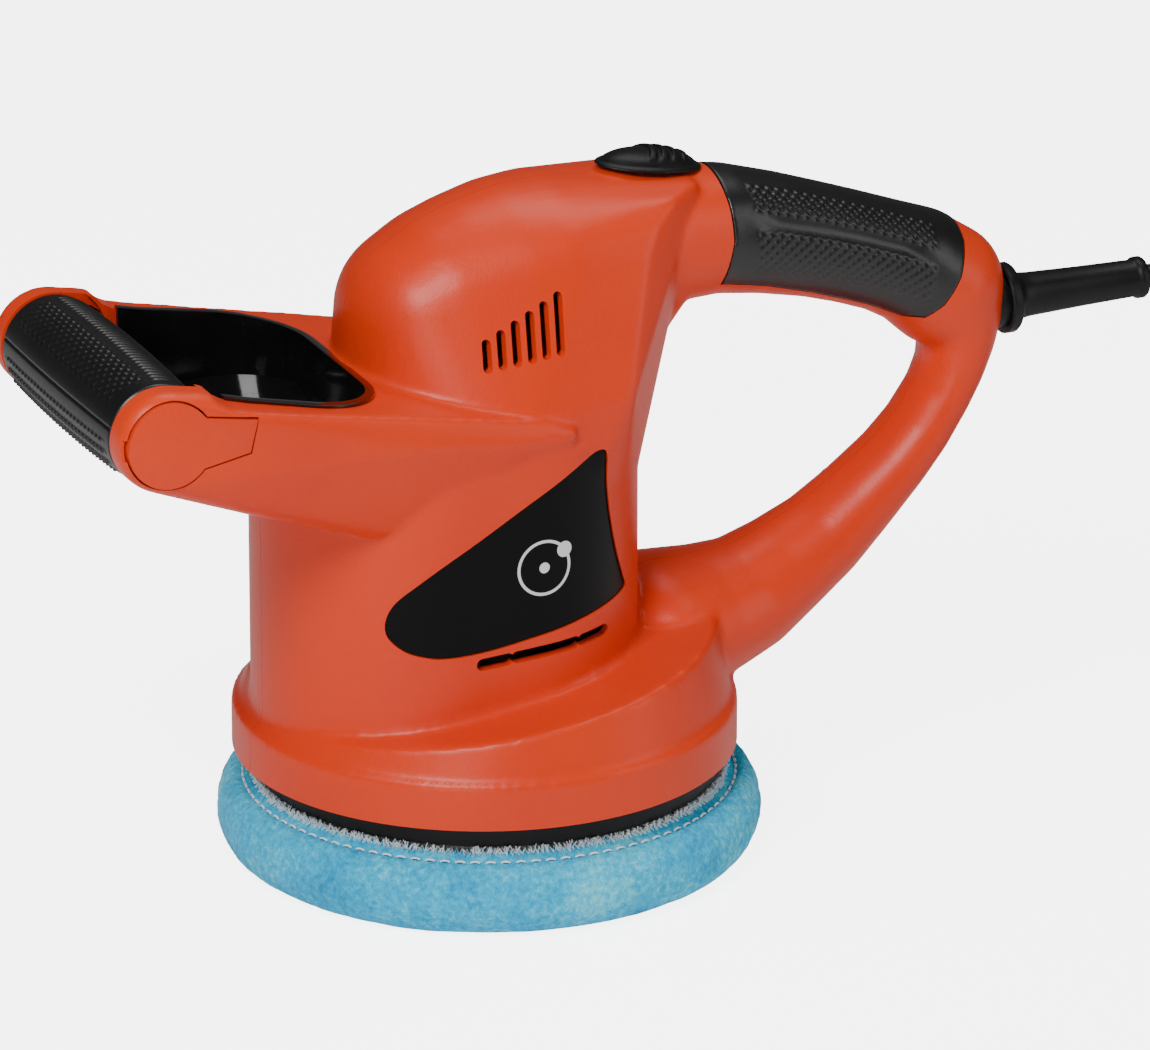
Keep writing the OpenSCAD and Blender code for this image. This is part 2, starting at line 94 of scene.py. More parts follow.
def make_studio():
    """Pale floor, a bright surround and three soft boxes."""
    bpy.ops.mesh.primitive_plane_add(size=40, location=(0, 0, 0))
    floor = bpy.context.object
    floor.name = "studio_floor"
    material, nodes, links, shader = new_material("studio_white")
    shader.inputs["Base Color"].default_value = (0.93, 0.93, 0.93, 1)
    shader.inputs["Roughness"].default_value = 0.9
    shader.inputs["Specular IOR Level"].default_value = 0.1
    shader.inputs["Emission Color"].default_value = (1, 1, 1, 1)
    path = nodes.new("ShaderNodeLightPath")
    glow = place_node(nodes, "ShaderNodeMath", operation="MULTIPLY")
    glow.inputs[1].default_value = 5.0
    links.new(path.outputs["Is Camera Ray"], glow.inputs[0])
    links.new(glow.outputs["Value"], shader.inputs["Emission Strength"])
    floor.data.materials.append(material)
    world = bpy.data.worlds.new("studio")
    world.use_nodes = True
    background = world.node_tree.nodes["Background"]
    background.inputs["Color"].default_value = (1, 1, 1, 1)
    background.inputs["Strength"].default_value = 0.09
    bpy.context.scene.world = world
    area_light("key_box", (-0.75, -0.75, 1.25), (0.55, 0.55), 20)
    area_light("front_box", (-0.9, -1.2, 0.35), (0.5, 0.9), 4.5)
    area_light("top_box", (0.35, 0.25, 1.3), (0.9, 0.5), 6)
    area_light("rim_box", (0.9, -0.7, 0.5), (0.3, 0.9), 2.5)


# ---------- materials ----------

def new_material(name):
    material = bpy.data.materials.new(name)
    material.use_nodes = True
    nodes, links = material.node_tree.nodes, material.node_tree.links
    return material, nodes, links, nodes["Principled BSDF"]


def place_node(nodes, kind, **values):
    node = nodes.new(kind)
    for key, value in values.items():
        if key in node.inputs:
            node.inputs[key].default_value = value
        else:
            setattr(node, key, value)
    return node


def noise(nodes, links, scale, detail=3.0, rough=0.5, squeeze=None):
    """Noise in object coordinates, squeezed along the axes if squeeze is given."""
    where = nodes.new("ShaderNodeTexCoord")
    node = place_node(nodes, "ShaderNodeTexNoise", Scale=scale, Detail=detail, Roughness=rough)
    if squeeze:
        mapping = nodes.new("ShaderNodeMapping")
        mapping.inputs["Scale"].default_value = squeeze
        links.new(where.outputs["Object"], mapping.inputs["Vector"])
        links.new(mapping.outputs["Vector"], node.inputs["Vector"])
    else:
        links.new(where.outputs["Object"], node.inputs["Vector"])
    return node


def ramp(nodes, links, source, stops):
    node = nodes.new("ShaderNodeValToRGB")
    node.color_ramp.elements[0].position, node.color_ramp.elements[0].color = stops[0]
    node.color_ramp.elements[1].position, node.color_ramp.elements[1].color = stops[-1]
    for position, colour in stops[1:-1]:
        node.color_ramp.elements.new(position).color = colour
    links.new(source, node.inputs["Fac"])
    return node


def bump(nodes, links, shader, height, strength, distance, under=None):
    node = place_node(nodes, "ShaderNodeBump", Strength=strength, Distance=distance)
    links.new(height, node.inputs["Height"])
    if under:
        links.new(under.outputs["Normal"], node.inputs["Normal"])
    links.new(node.outputs["Normal"], shader.inputs["Normal"])
    return node


def plain(name, low, high, roughness, metallic=0.0, grain=900, depth=0.0, coat=0.0, spread=60, squeeze=None,
          shine=0.5):
    """A surface whose colour wanders between low and high, with a fine grain of the given depth in metres."""
    material, nodes, links, shader = new_material(name)
    wander = noise(nodes, links, spread, 4, squeeze=squeeze)
    tint = ramp(nodes, links, wander.outputs["Fac"], [(0.3, (*low, 1)), (0.7, (*high, 1))])
    links.new(tint.outputs["Color"], shader.inputs["Base Color"])
    shader.inputs["Metallic"].default_value = metallic
    shader.inputs["Specular IOR Level"].default_value = shine
    fine = noise(nodes, links, grain, 2, squeeze=squeeze)
    gloss = nodes.new("ShaderNodeMapRange")
    gloss.inputs["To Min"].default_value = max(roughness - 0.06, 0.02)
    gloss.inputs["To Max"].default_value = min(roughness + 0.06, 1)
    links.new(fine.outputs["Fac"], gloss.inputs["Value"])
    links.new(gloss.outputs["Result"], shader.inputs["Roughness"])
    if coat:
        shader.inputs["Coat Weight"].default_value = coat
        shader.inputs["Coat Roughness"].default_value = 0.05
    if depth:
        bump(nodes, links, shader, fine.outputs["Fac"], 0.6, depth)
    return material


def shell_orange():
    """Moulded orange shell: spark-eroded grain, deeper red where the light is grazing."""
    material, nodes, links, shader = new_material("shell_orange")
    wander = noise(nodes, links, 14, 2)
    tint = ramp(nodes, links, wander.outputs["Fac"],
                [(0.3, (0.70, 0.034, 0.003, 1)), (0.7, (0.76, 0.044, 0.004, 1))])
    links.new(tint.outputs["Color"], shader.inputs["Base Color"])
    grain = noise(nodes, links, 1500, 2, 0.6)
    coarse = noise(nodes, links, 620, 2, 0.5)
    mix = place_node(nodes, "ShaderNodeMath", operation="ADD")
    links.new(grain.outputs["Fac"], mix.inputs[0])
    links.new(coarse.outputs["Fac"], mix.inputs[1])
    bump(nodes, links, shader, mix.outputs["Value"], 0.35, 0.00012)
    shader.inputs["Roughness"].default_value = 0.38
    shader.inputs["Specular IOR Level"].default_value = 0.34
    return material


def fleece_blue():
    """Looped fleece with a soft sheen: painted highlight on the raised loops and painted shade in the ground
    between them, over blue tone that wanders at random.
    """
    material, nodes, links, shader = new_material("fleece_blue")
    loops = noise(nodes, links, 520, 4, 0.7)
    clouds = noise(nodes, links, 42, 4, 0.6)
    both = place_node(nodes, "ShaderNodeMath", operation="MULTIPLY_ADD")
    both.inputs[1].default_value = 0.6
    links.new(loops.outputs["Fac"], both.inputs[0])
    scaled = place_node(nodes, "ShaderNodeMath", operation="MULTIPLY")
    scaled.inputs[1].default_value = 0.45
    links.new(clouds.outputs["Fac"], scaled.inputs[0])
    links.new(scaled.outputs["Value"], both.inputs[2])
    # Painted highlight and painted shade: the ramp follows the loop height that also drives the bump, pale on
    # raised loops and dark in the ground between them; the cloud noise adds tone that wanders at random.
    tint = ramp(nodes, links, both.outputs["Value"],
                [(0.36, (0.004, 0.30, 0.60, 1)), (0.53, (0.012, 0.56, 0.90, 1)), (0.70, (0.24, 0.90, 1.0, 1))])
    links.new(tint.outputs["Color"], shader.inputs["Base Color"])
    shader.inputs["Roughness"].default_value = 0.95
    shader.inputs["Specular IOR Level"].default_value = 0.15
    shader.inputs["Sheen Weight"].default_value = 0.2
    shader.inputs["Sheen Roughness"].default_value = 0.45
    shader.inputs["Sheen Tint"].default_value = (0.75, 0.93, 1.0, 1)
    bump(nodes, links, shader, loops.outputs["Fac"], 0.9, 0.0009)
    return material


def badge_black():
    """Black plate printed with an orbit: a thin ring round a small centre dot, and a satellite on the ring."""
    material, nodes, links, shader = new_material("badge_black")
    where = nodes.new("ShaderNodeTexCoord")
    flat = place_node(nodes, "ShaderNodeVectorMath", operation="MULTIPLY")
    flat.inputs[1].default_value = (1, 0, 1)
    links.new(where.outputs["Object"], flat.inputs[0])

    def band(x, z, low, high, soft=0.00012):
        """1 where the distance from a centre lies between low and high, in metres."""
        far = place_node(nodes, "ShaderNodeVectorMath", operation="DISTANCE")
        far.inputs[1].default_value = (x, 0, z)
        links.new(flat.outputs["Vector"], far.inputs[0])
        stops = nodes.new("ShaderNodeMapRange")
        stops.inputs["From Min"].default_value, stops.inputs["From Max"].default_value = high + soft, high
        links.new(far.outputs["Value"], stops.inputs["Value"])
        hole = nodes.new("ShaderNodeMapRange")
        hole.inputs["From Min"].default_value, hole.inputs["From Max"].default_value = low - soft, low
        links.new(far.outputs["Value"], hole.inputs["Value"])
        both = place_node(nodes, "ShaderNodeMath", operation="MULTIPLY")
        links.new(stops.outputs["Result"], both.inputs[0])
        links.new(hole.outputs["Result"], both.inputs[1])
        return both.outputs["Value"]

    ink = band(-0.001, 0.1045, 0.0078, 0.0086)
    for other in (band(-0.001, 0.1045, -0.001, 0.0016), band(0.0056, 0.1092, -0.001, 0.0024)):
        more = place_node(nodes, "ShaderNodeMath", operation="MAXIMUM")
        links.new(ink, more.inputs[0])
        links.new(other, more.inputs[1])
        ink = more.outputs["Value"]
    tint = ramp(nodes, links, ink, [(0, (0.002, 0.002, 0.002, 1)), (1, (0.75, 0.75, 0.75, 1))])
    links.new(tint.outputs["Color"], shader.inputs["Base Color"])
    grain = noise(nodes, links, 700, 2)
    bump(nodes, links, shader, grain.outputs["Fac"], 0.3, 0.00002)
    shader.inputs["Roughness"].default_value = 0.3
    shader.inputs["Specular IOR Level"].default_value = 0.12
    return material


MATERIALS = {}


def make_materials():
    MATERIALS.update(
        shell=shell_orange(),
        liner=plain("liner_gloss", (0.003, 0.003, 0.003), (0.006, 0.006, 0.007), 0.12, coat=0.6, grain=300),
        grip=plain("grip_rubber", (0.0025, 0.0025, 0.003), (0.005, 0.005, 0.0055), 0.36, grain=1600, depth=0.00003,
                   shine=0.6),
        black_plastic=plain("black_plastic", (0.003, 0.003, 0.003), (0.006, 0.006, 0.006), 0.42, grain=1400,
                            depth=0.00003, shine=0.25),
        badge=badge_black(),
        steel=plain("steel_turned", (0.50, 0.51, 0.53), (0.62, 0.63, 0.65), 0.28, 1.0, grain=700, depth=0.00001,
                    squeeze=(1, 1, 8)),
        iron=plain("iron_laminations", (0.20, 0.20, 0.22), (0.34, 0.34, 0.36), 0.45, 1.0, grain=500, depth=0.00008,
                   squeeze=(0.1, 0.1, 4)),
        alloy=plain("alloy_cast", (0.42, 0.43, 0.45), (0.55, 0.56, 0.58), 0.5, 1.0, grain=800, depth=0.00006),
        copper=plain("copper_enamelled", (0.45, 0.13, 0.04), (0.66, 0.24, 0.09), 0.3, 1.0, grain=900, depth=0.00015,
                     coat=0.5, squeeze=(1, 1, 6)),
        carbon=plain("carbon_brush", (0.02, 0.02, 0.02), (0.05, 0.05, 0.05), 0.6, 0.2, grain=900, depth=0.00004),
        phenolic=plain("phenolic_brown", (0.06, 0.025, 0.012), (0.10, 0.045, 0.02), 0.4, grain=400, depth=0.00003),
        brass=plain("brass_blade", (0.60, 0.44, 0.16), (0.70, 0.54, 0.24), 0.25, 1.0, grain=600, depth=0.00001),
        wire=plain("wire_jacket", (0.01, 0.01, 0.01), (0.02, 0.02, 0.02), 0.45, grain=900, depth=0.00002),
        cord=plain("cord_jacket", (0.003, 0.003, 0.0035), (0.006, 0.006, 0.0065), 0.38, grain=900, depth=0.00003),
        foam=plain("foam_open", (0.55, 0.50, 0.36), (0.74, 0.70, 0.56), 0.95, grain=420, depth=0.0008),
        fleece=fleece_blue(),
    )
    MATERIALS["thread"] = plain("thread_white", (0.74, 0.90, 0.96), (0.97, 0.99, 1.0), 0.7, grain=3000,
                                depth=0.00005, spread=700)


def finish_piece(piece, name, body, slot, material=None, replaces=(), angle=35):
    """Names a piece, gives it its material, and fastens it to its body."""
    piece.name = name
    piece.data.name = name
    piece.data.materials.clear()
    piece.data.materials.append(MATERIALS[material or slot])
    if piece.type == "MESH" and angle is not None:
        select_only(piece)
        bpy.ops.object.shade_smooth_by_angle(angle=math.radians(angle))
    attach(piece, body)
    if replaces:
        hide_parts(*replaces)
    return piece


# ---------- modelling helpers, in millimetres ----------

def select_only(*objects):
    if bpy.context.object and bpy.context.object.mode != "OBJECT":
        bpy.ops.object.mode_set(mode="OBJECT")
    bpy.ops.object.select_all(action="DESELECT")
    for item in objects:
        item.select_set(True)
    bpy.context.view_layer.objects.active = objects[0]


def settle():
    """Applies the active object's place, turn and size to its mesh."""
    bpy.ops.object.transform_apply(location=True, rotation=True, scale=True)
    return bpy.context.object


def ball(x, z, r, w=None, y=0.0, segments=40):
    """Ball with half width w across Y."""
    bpy.ops.mesh.primitive_uv_sphere_add(segments=segments, ring_count=segments // 2, radius=r * MM,
                                         location=(x * MM, y * MM, z * MM))
    bpy.context.object.scale = (1, (w or r) / r, 1)
    return settle()


def rod(a, b, r, r2=None, sides=64):
    """Round bar, or cone, between two points."""
    a, b = Vector(a) * MM, Vector(b) * MM
    bpy.ops.mesh.primitive_cone_add(vertices=sides, radius1=r * MM, radius2=(r if r2 is None else r2) * MM,
                                    depth=(b - a).length, location=(a + b) / 2)
    bpy.context.object.rotation_euler = (b - a).to_track_quat("Z", "Y").to_euler()
    return settle()


def block(low, high):
    low, high = Vector(low) * MM, Vector(high) * MM
    bpy.ops.mesh.primitive_cube_add(size=1, location=(low + high) / 2)
    bpy.context.object.scale = high - low
    return settle()


def joined(parts):
    select_only(*parts)
    bpy.ops.object.join()
    return bpy.context.object


def hulled(parts):
    """The convex form stretched over some parts."""
    item = joined(parts)
    bpy.ops.object.mode_set(mode="EDIT")
    bpy.ops.mesh.select_all(action="SELECT")
    bpy.ops.mesh.convex_hull()
    bpy.ops.object.mode_set(mode="OBJECT")
    return item


def modified(item, kind, **settings):
    """Adds a modifier and applies it."""
    select_only(item)
    modifier = item.modifiers.new(kind.lower(), kind)
    for key, value in settings.items():
        setattr(modifier, key, value)
    bpy.ops.object.modifier_apply(modifier=modifier.name)
    return item


def cut(item, tool, how="DIFFERENCE", keep=False):
    """Boolean of item with tool, which is then removed."""
    modified(item, "BOOLEAN", object=tool, operation=how, solver="MANIFOLD")
    if not keep:
        bpy.data.objects.remove(tool, do_unlink=True)
    return item


def copy_of(item):
    twin = item.copy()
    twin.data = item.data.copy()
    bpy.context.scene.collection.objects.link(twin)
    return twin


def outline_slab(points, y0, y1):
    """Flat outline in X and Z, extruded across Y from y0 to y1."""
    mesh = bpy.data.meshes.new("slab")
    mesh.from_pydata([Vector((x, y0, z)) * MM for x, z in points], [], [list(range(len(points)))])
    item = bpy.data.objects.new("slab", mesh)
    bpy.context.scene.collection.objects.link(item)
    select_only(item)
    bpy.ops.object.mode_set(mode="EDIT")
    bpy.ops.mesh.select_all(action="SELECT")
    bpy.ops.mesh.extrude_region_move(TRANSFORM_OT_translate={"value": (0, (y1 - y0) * MM, 0)})
    bpy.ops.mesh.select_all(action="SELECT")
    bpy.ops.mesh.normals_make_consistent(inside=False)
    bpy.ops.object.mode_set(mode="OBJECT")
    return item


def turned(profile, centre, steps=96, axis=(0, 0, 1), across=(1, 0, 0)):
    """Closed profile of (radius, height) points spun about an axis through centre."""
    centre, axis, across = Vector(centre) * MM, Vector(axis), Vector(across)
    mesh = bpy.data.meshes.new("turned")
    points = [centre + across * (r * MM) + axis * (h * MM) for r, h in profile]
    count = len(points)
    mesh.from_pydata(points, [(i, (i + 1) % count) for i in range(count)], [])
    item = bpy.data.objects.new("turned", mesh)
    bpy.context.scene.collection.objects.link(item)
    select_only(item)
    bpy.ops.object.mode_set(mode="EDIT")
    bpy.ops.mesh.select_all(action="SELECT")
    bpy.ops.mesh.spin(steps=steps, angle=math.tau, center=centre, axis=axis)
    bpy.ops.mesh.select_all(action="SELECT")
    bpy.ops.mesh.remove_doubles(threshold=1e-6)
    bpy.ops.mesh.normals_make_consistent(inside=False)
    bpy.ops.object.mode_set(mode="OBJECT")
    return item


# ---------- housing ----------

# Stations of the D-handle: x, z, half height, half width
TOP_BAR = [(40, 185.5, 22.5, 24), (56, 185, 21, 21.5), (74, 184, 19.5, 19), (90, 180.5, 18.3, 18.2),
           (106, 176, 17.3, 17.6), (118, 172, 17, 17.2), (130, 167.5, 17, 17), (141, 162.5, 18, 17),
           (150, 155.5, 19, 17)]
REAR_BAR = [(150, 155.5, 19, 17), (154.5, 147, 14, 15), (155, 139, 11.5, 14), (153, 130, 9.8, 13.6),
            (149, 121.5, 9.2, 13.6), (142, 111, 9.4, 14), (134, 102, 10, 14.6), (122, 91, 11.5, 15.6),
            (110, 81, 13.2, 17), (97, 73, 15, 19), (84, 66, 17, 22), (71, 63, 19, 26), (56, 61, 21, 32)]


def chain(stations, inset):
    """Convex links from each station to the next."""
    return [hulled([ball(x, z, r - inset, w - inset), ball(x2, z2, r2 - inset, w2 - inset)])
            for (x, z, r, w), (x2, z2, r2, w2) in zip(stations, stations[1:])]


def tilted_disc(x, z, r, thick, tilt):
    item = rod((0, 0, 0), (0, 0, thick), r, sides=96)
    item.rotation_euler = (0, math.radians(tilt), 0)
    item.location = (x * MM, 0, z * MM)
    select_only(item)
    return settle()


def skirt_form(inset):
    lower = [rod((0, 0, SKIRT_Z - 8), (0, 0, BAND_Z), SKIRT_R - inset, sides=128)]
    upper = [rod((0, 0, BAND_Z - 2), (0, 0, BAND_Z + 1), SKIRT_R - 2.2 - inset, sides=128),
             tilted_disc(0, 58 - inset, SKIRT_R - 5.5 - inset, 5.5, -8)]
    return lower + [hulled(upper)]


def column_form(inset):
    body = hulled([rod((-24, 0, 52), (-24, 0, 140), 47.5 - inset, sides=96),
                   rod((-2, 0, 52), (-2, 0, 140), 47.5 - inset, sides=96)])
    crown = hulled([rod((0, 0, 120), (0, 0, 150), 45.5 - inset, sides=96),
                    ball(-20, 166, 24.5 - inset, 31 - inset), ball(-19, 171.5, 26 - inset, 30 - inset),
                    ball(-10.5, 174.6, 27.8 - inset, 31.4 - inset), ball(-2, 177, 28.5 - inset, 32 - inset),
                    ball(8, 182, 25.9 - inset, 32.8 - inset),
                    ball(18, 186.5, 22 - inset, 33 - inset)]
                   + [ball(x, z - inset * 0.7, 1.6, y=side * (y - inset * 0.7), segments=10)
                      for x, y, z in CHEEK for side in (-1, 1)])
    web = hulled([ball(36, 146, 8 - inset, 18 - inset), ball(58, 174, 9 - inset, 16 - inset)])
    return [body, crown, web]


# Edges where the dome's cheeks stand proud of the handle's neck: x, y, z
CHEEK = [(62, 13, 203), (52, 20, 201.5), (44, 25.5, 196.5), (39, 29.5, 189), (35.5, 33, 178), (32.5, 37, 166),
         (29, 41, 152)]
# Line of the finger bowl's rim, seen from the side, from the round arm ends to the dome: x, z
RIM_LINE = [(24, 145.4), (-46, 159.2), (-70, 163.8), (-92, 168.2), (-100, 170.2), (-105, 173.2), (-107.5, 180)]
# Points of the nose's left side, mirrored for the right: x, y, z, radius
NOSE_CREASE = [(-100, 51, 156.5, 2), (-66, 50.5, 152, 2), (-38, 50.5, 149, 2), (-9, 48.5, 145.5, 2),
               (8, 46, 144.5, 2)]
NOSE_RIM = [(-98, 43, 168, 3), (-80, 44, 166, 3), (-60, 44, 162.5, 3.5), (-40, 42, 159.5, 4), (-18, 43, 155, 4)]
NOSE_FLOOR = [(-86, 36, 134, 4), (-50, 38, 123.5, 5), (-24, 40, 128, 5), (0, 42, 138, 4)]


def nose_form(inset):
    parts = []
    for side in (-1, 1):
        parts.append(rod((GRIP_X, side * 36, GRIP_Z), (GRIP_X, side * (ARM_Y - 3 - inset), GRIP_Z), 15.2 - inset))
        parts.append(rod((GRIP_X, side * 36, GRIP_Z), (GRIP_X, side * (ARM_Y - inset), GRIP_Z), 12.8 - inset))
        for x, y, z, r in NOSE_CREASE + NOSE_RIM + NOSE_FLOOR:
            parts.append(ball(x, z, max(r - inset, 0.5), y=side * (y - inset * 0.7), segments=12))
    parts.append(ball(-104, 151, 15 - inset, 30 - inset))
    parts.append(ball(-78, 143, 17 - inset, 28 - inset))
    nose = hulled(parts)
    cut(nose, rim_slab(-inset))
    return [nose]


def rim_slab(lift):
    """What lies above the rim line of the finger bowl."""
    line = [(x, z + lift) for x, z in RIM_LINE]
    return outline_slab(line + [(line[-1][0], 240), (line[0][0], 240)], -70, 70)


def shell_form(inset, voxel, passes):
    """One closed form of the whole shell, melted together."""
    parts = (skirt_form(inset) + column_form(inset) + chain(TOP_BAR, inset) + chain(REAR_BAR, inset)
             + nose_form(inset))
    item = joined(parts)
    modified(item, "REMESH", mode="VOXEL", voxel_size=voxel * MM)
    if passes:
        modified(item, "SMOOTH", factor=0.5, iterations=passes)
    return item


def bowl_form(inset, z0, z1):
    return hulled([rod((x, side * y, z0), (x, side * y, z1), r - inset)
                   for x, y, r in ((-70, 20, 24), (-100, 33, 9)) for side in (-1, 1)])


# Screw bosses between the halves: x, z
BOSSES = [(-62, 86), (-62, 116), (33, 142), (-30, 186), (84, 184), (148, 148), (120, 93), (70, 62)]
BADGE = [(-44, 84), (-48, 88), (-48.5, 93), (-46, 98.5), (-40, 104), (-31, 110.5), (-18, 118), (-4, 126),
         (8, 132.5), (15, 136), (19, 137), (20.5, 135), (21, 128), (22.5, 116), (25.5, 103), (29, 93), (30, 90),
         (26, 88.5), (12, 86.2), (-4, 83.6), (-18, 81.6), (-32, 81), (-39, 82)]


def rounded(points):
    """Closed outline with more points, smooth through the given ones."""
    loop = [Vector((x, z, 0)) for x, z in points]
    out = []
    for i in range(len(loop)):
        a, b, c, d = loop[i - 1], loop[i], loop[(i + 1) % len(loop)], loop[(i + 2) % len(loop)]
        count = max(1, round((c - b).length / 1.2))
        out += [between(a, b, c, d, k / count).xy[:] for k in range(count)]
    return out


def grown(points, by):
    """An outline moved outwards by a distance along its corners' bisectors."""
    out = []
    for i, (x, z) in enumerate(points):
        before, after = Vector(points[i - 1]), Vector(points[(i + 1) % len(points)])
        along = (after - before).normalized()
        out.append((x + along.y * -by, z + along.x * by))
    return out


def vent_cutters(side):
    near, far = side * 20, side * 60
    tools = []
    for i in range(6):
        x, low, high = -14.5 + 4.4 * i, 165 + 0.6 * i, 171.7 + 2.3 * i
        top_x = x + (high - low) * 0.09
        tools.append(hulled([rod((x, near, low), (x, far, low), 1.3, sides=20),
                             rod((top_x, near, high), (top_x, far, high), 1.3, sides=20)]))
    for x0, x1 in ((-21, -13), (-10, 9), (12, 20)):
        ends = [(x, 77.4 + 0.06 * (x + 21)) for x in (x0, x1)]
        tools.append(hulled([rod((x, side * 30, z), (x, far, z), 1.9, sides=24) for x, z in ends]))
    return tools


def cap_form(side, grow, near, far):
    """Round cover with a tapering tab to the rear."""
    tab = [(-112, GRIP_Z + 7.6 + grow), (-93.2 + grow, GRIP_Z + 4.2 + grow), (-95.6 + grow, GRIP_Z - 5.4 - grow),
           (-112, GRIP_Z - 8.6 - grow)]
    return [rod((GRIP_X, side * near, GRIP_Z), (GRIP_X, side * far, GRIP_Z), 13 + grow, sides=96),
            outline_slab(tab, side * near, side * far)]


def merged(tools):
    """Closed forms that may cross, made one."""
    first = tools[0]
    for tool in tools[1:]:
        cut(first, tool, "UNION")
    return first


def drawn_in(form, depth):
    """A copy of a form with its surface moved inwards."""
    return modified(copy_of(form), "DISPLACE", strength=-depth * MM, mid_level=0)


def shell_insides():
    """Screw bosses, bearing seat, ledge, clamp saddle and the pocket round the finger bowl."""
    parts = [rod((x, -48, z), (x, 48, z), 4.5, sides=32) for x, z in BOSSES]
    ledge = rod((0, 0, 65.8), (0, 0, 70.8), 80)
    cut(ledge, rod((0, 0, 60), (0, 0, 80), 36))
    return merged(parts + [block((-55, -18, 148), (55, 18, 159)), ledge, block((155, -10, 138), (160, 10, 151.6)),
                           bowl_form(-2, LINER_FLOOR - 2.6, 186)])


def shell_pockets():
    """Everything that is cut out of the melted shell."""
    tools = [rod((0, 0, 10), (0, 0, 50), SKIRT_R - WALL, sides=160), rod((0, 0, 60), (0, 0, 65.8), 43.8, sides=96),
             rod((0, 0, 140), (0, 0, 172), 6), rod((0, 0, 149), (0, 0, 156.5), 11.1),
             bowl_form(0.3, LINER_FLOOR - 0.3, 172), block((-109.3, -41.4, 165), (-82, 41.4, 200)),
             rod((GRIP_X, -GRIP_HALF - 0.3, GRIP_Z), (GRIP_X, GRIP_HALF + 0.3, GRIP_Z), GRIP_R + 1.2, sides=96),
             block((-150, -GRIP_HALF - 0.3, 138), (-120, GRIP_HALF + 0.3, 200)),
             rod((GRIP_X, -70, GRIP_Z), (GRIP_X, 70, GRIP_Z), 2.6), rod((140, 0, EXIT[2]), (162, 0, EXIT[2]), 3.7),
             rod((160, 0, EXIT[2]), (190, 0, EXIT[2]), 9.0), rod((160, 0, EXIT[2]), (163.2, 0, EXIT[2]), 10.1),
             button_slot()]
    for x, z in BOSSES:
        tools.append(rod((x, -11, z), (x, 19.5, z), 1.75, sides=24))
        tools.append(rod((x, 12, z), (x, 72, z), 3.7, sides=32))
    for side in (-1, 1):
        tools += vent_cutters(side) + cap_form(side, 0.5, ARM_Y - 4.6, ARM_Y + 10)
        near, far = sorted((side * (ARM_Y - 2.4), side * (ARM_Y + 8)))
        tools.append(block((-136.2, near, GRIP_Z - 3.2), (-131.5, far, GRIP_Z + 3.2)))
    return merged(tools)


def make_housing(solid):
    """Two clamshell halves, hollowed and cut from one smooth solid."""
    outer = copy_of(solid)
    cut(outer, block((-200, -200, 0), (300, 200, SKIRT_Z)))
    cut(outer, shell_form(WALL + 0.6, 2.6, 4))
    within = drawn_in(solid, 1.0)
    cut(outer, cut(shell_insides(), within, "INTERSECT"), "UNION")
    shallow = merged([grip_zone(0.25)]
                     + [outline_slab(grown(rounded(BADGE), 0.35), 0, side * 80) for side in (-1, 1)])
    cut(shallow, drawn_in(solid, 1.7))
    cut(outer, merged([shell_pockets(), shallow]))
    for side, name in ((-1, "left"), (1, "right")):
        half = copy_of(outer)
        low, high = (-200, -0.07) if side < 0 else (0.07, 200)
        cut(half, block((-200, low, 0), (300, high, 300)), "INTERSECT")
        finish_piece(half, f"shell_{name}", "housing", "shell", replaces=[f"housing_{name}"], angle=42)
    bpy.data.objects.remove(outer, do_unlink=True)


def grip_zone(grow):
    """The stretch of the top bar that the rear grip covers, seen from the side."""
    edge = [(71.5 - grow, 215), (72.6 - grow, 196), (72.6 - grow, 186), (70 - grow, 172 - grow), (86, 168.5 - grow),
            (102, 163.5 - grow), (120, 157 - grow), (132, 151.5 - grow), (138, 151 - grow), (143 + grow, 155),
            (148.5 + grow, 163), (152 + grow, 172), (153.5 + grow, 181), (152.5 + grow, 215)]
    return outline_slab(edge, -60, 60)


def button_slot():
    item = block((-10, -4, -14), (10, 4, 8))
    item.rotation_euler = (0, math.radians(BUTTON_TILT), 0)
    item.location = Vector(BUTTON) * MM
    select_only(item)
    return settle()


# ---------- forms through rings of points ----------

def ringed(rings, wrap=False):
    """Closed form through rings of points, in millimetres; wrap joins the last ring to the first."""
    count, rows = len(rings[0]), len(rings)
    faces = [(i * count + k, i * count + (k + 1) % count, (i + 1) % rows * count + (k + 1) % count,
              (i + 1) % rows * count + k) for i in range(rows if wrap else rows - 1) for k in range(count)]
    if not wrap:
        faces += [tuple(range(count)), tuple(range((rows - 1) * count, rows * count))]
    mesh = bpy.data.meshes.new("ringed")
    mesh.from_pydata([Vector(point) * MM for ring in rings for point in ring], [], faces)
    item = bpy.data.objects.new("ringed", mesh)
    bpy.context.scene.collection.objects.link(item)
    select_only(item)
    bpy.ops.object.mode_set(mode="EDIT")
    bpy.ops.mesh.select_all(action="SELECT")
    bpy.ops.mesh.normals_make_consistent(inside=False)
    bpy.ops.object.mode_set(mode="OBJECT")
    return item


def fade(value, low, high):
    """0 up to low, 1 from high, smooth between."""
    t = min(max((value - low) / (high - low), 0), 1)
    return t * t * (3 - 2 * t)


def studs(along, across, pitch):
    """Rows of small humps set like a chessboard."""
    return max(0.0, math.cos(math.tau * along / pitch[0]) * math.cos(math.tau * across / pitch[1]))


def between(a, b, c, d, t):
    """Place at t from b to c on the smooth curve through a, b, c and d."""
    return 0.5 * (2 * b + (c - a) * t + (2 * a - 5 * b + 4 * c - d) * t ** 2 + (3 * b - a - 3 * c + d) * t ** 3)


def smooth_line(points, step):
    """Points about a step apart on a smooth curve through given points, in millimetres."""
    points = [Vector(p) for p in points]
    out = []
    for i in range(len(points) - 1):
        a, b, c, d = points[max(i - 1, 0)], points[i], points[i + 1], points[min(i + 2, len(points) - 1)]
        count = max(2, round((c - b).length / step))
        for k in range(count):
            out.append(between(a, b, c, d, k / count))
    return out + [points[-1]]


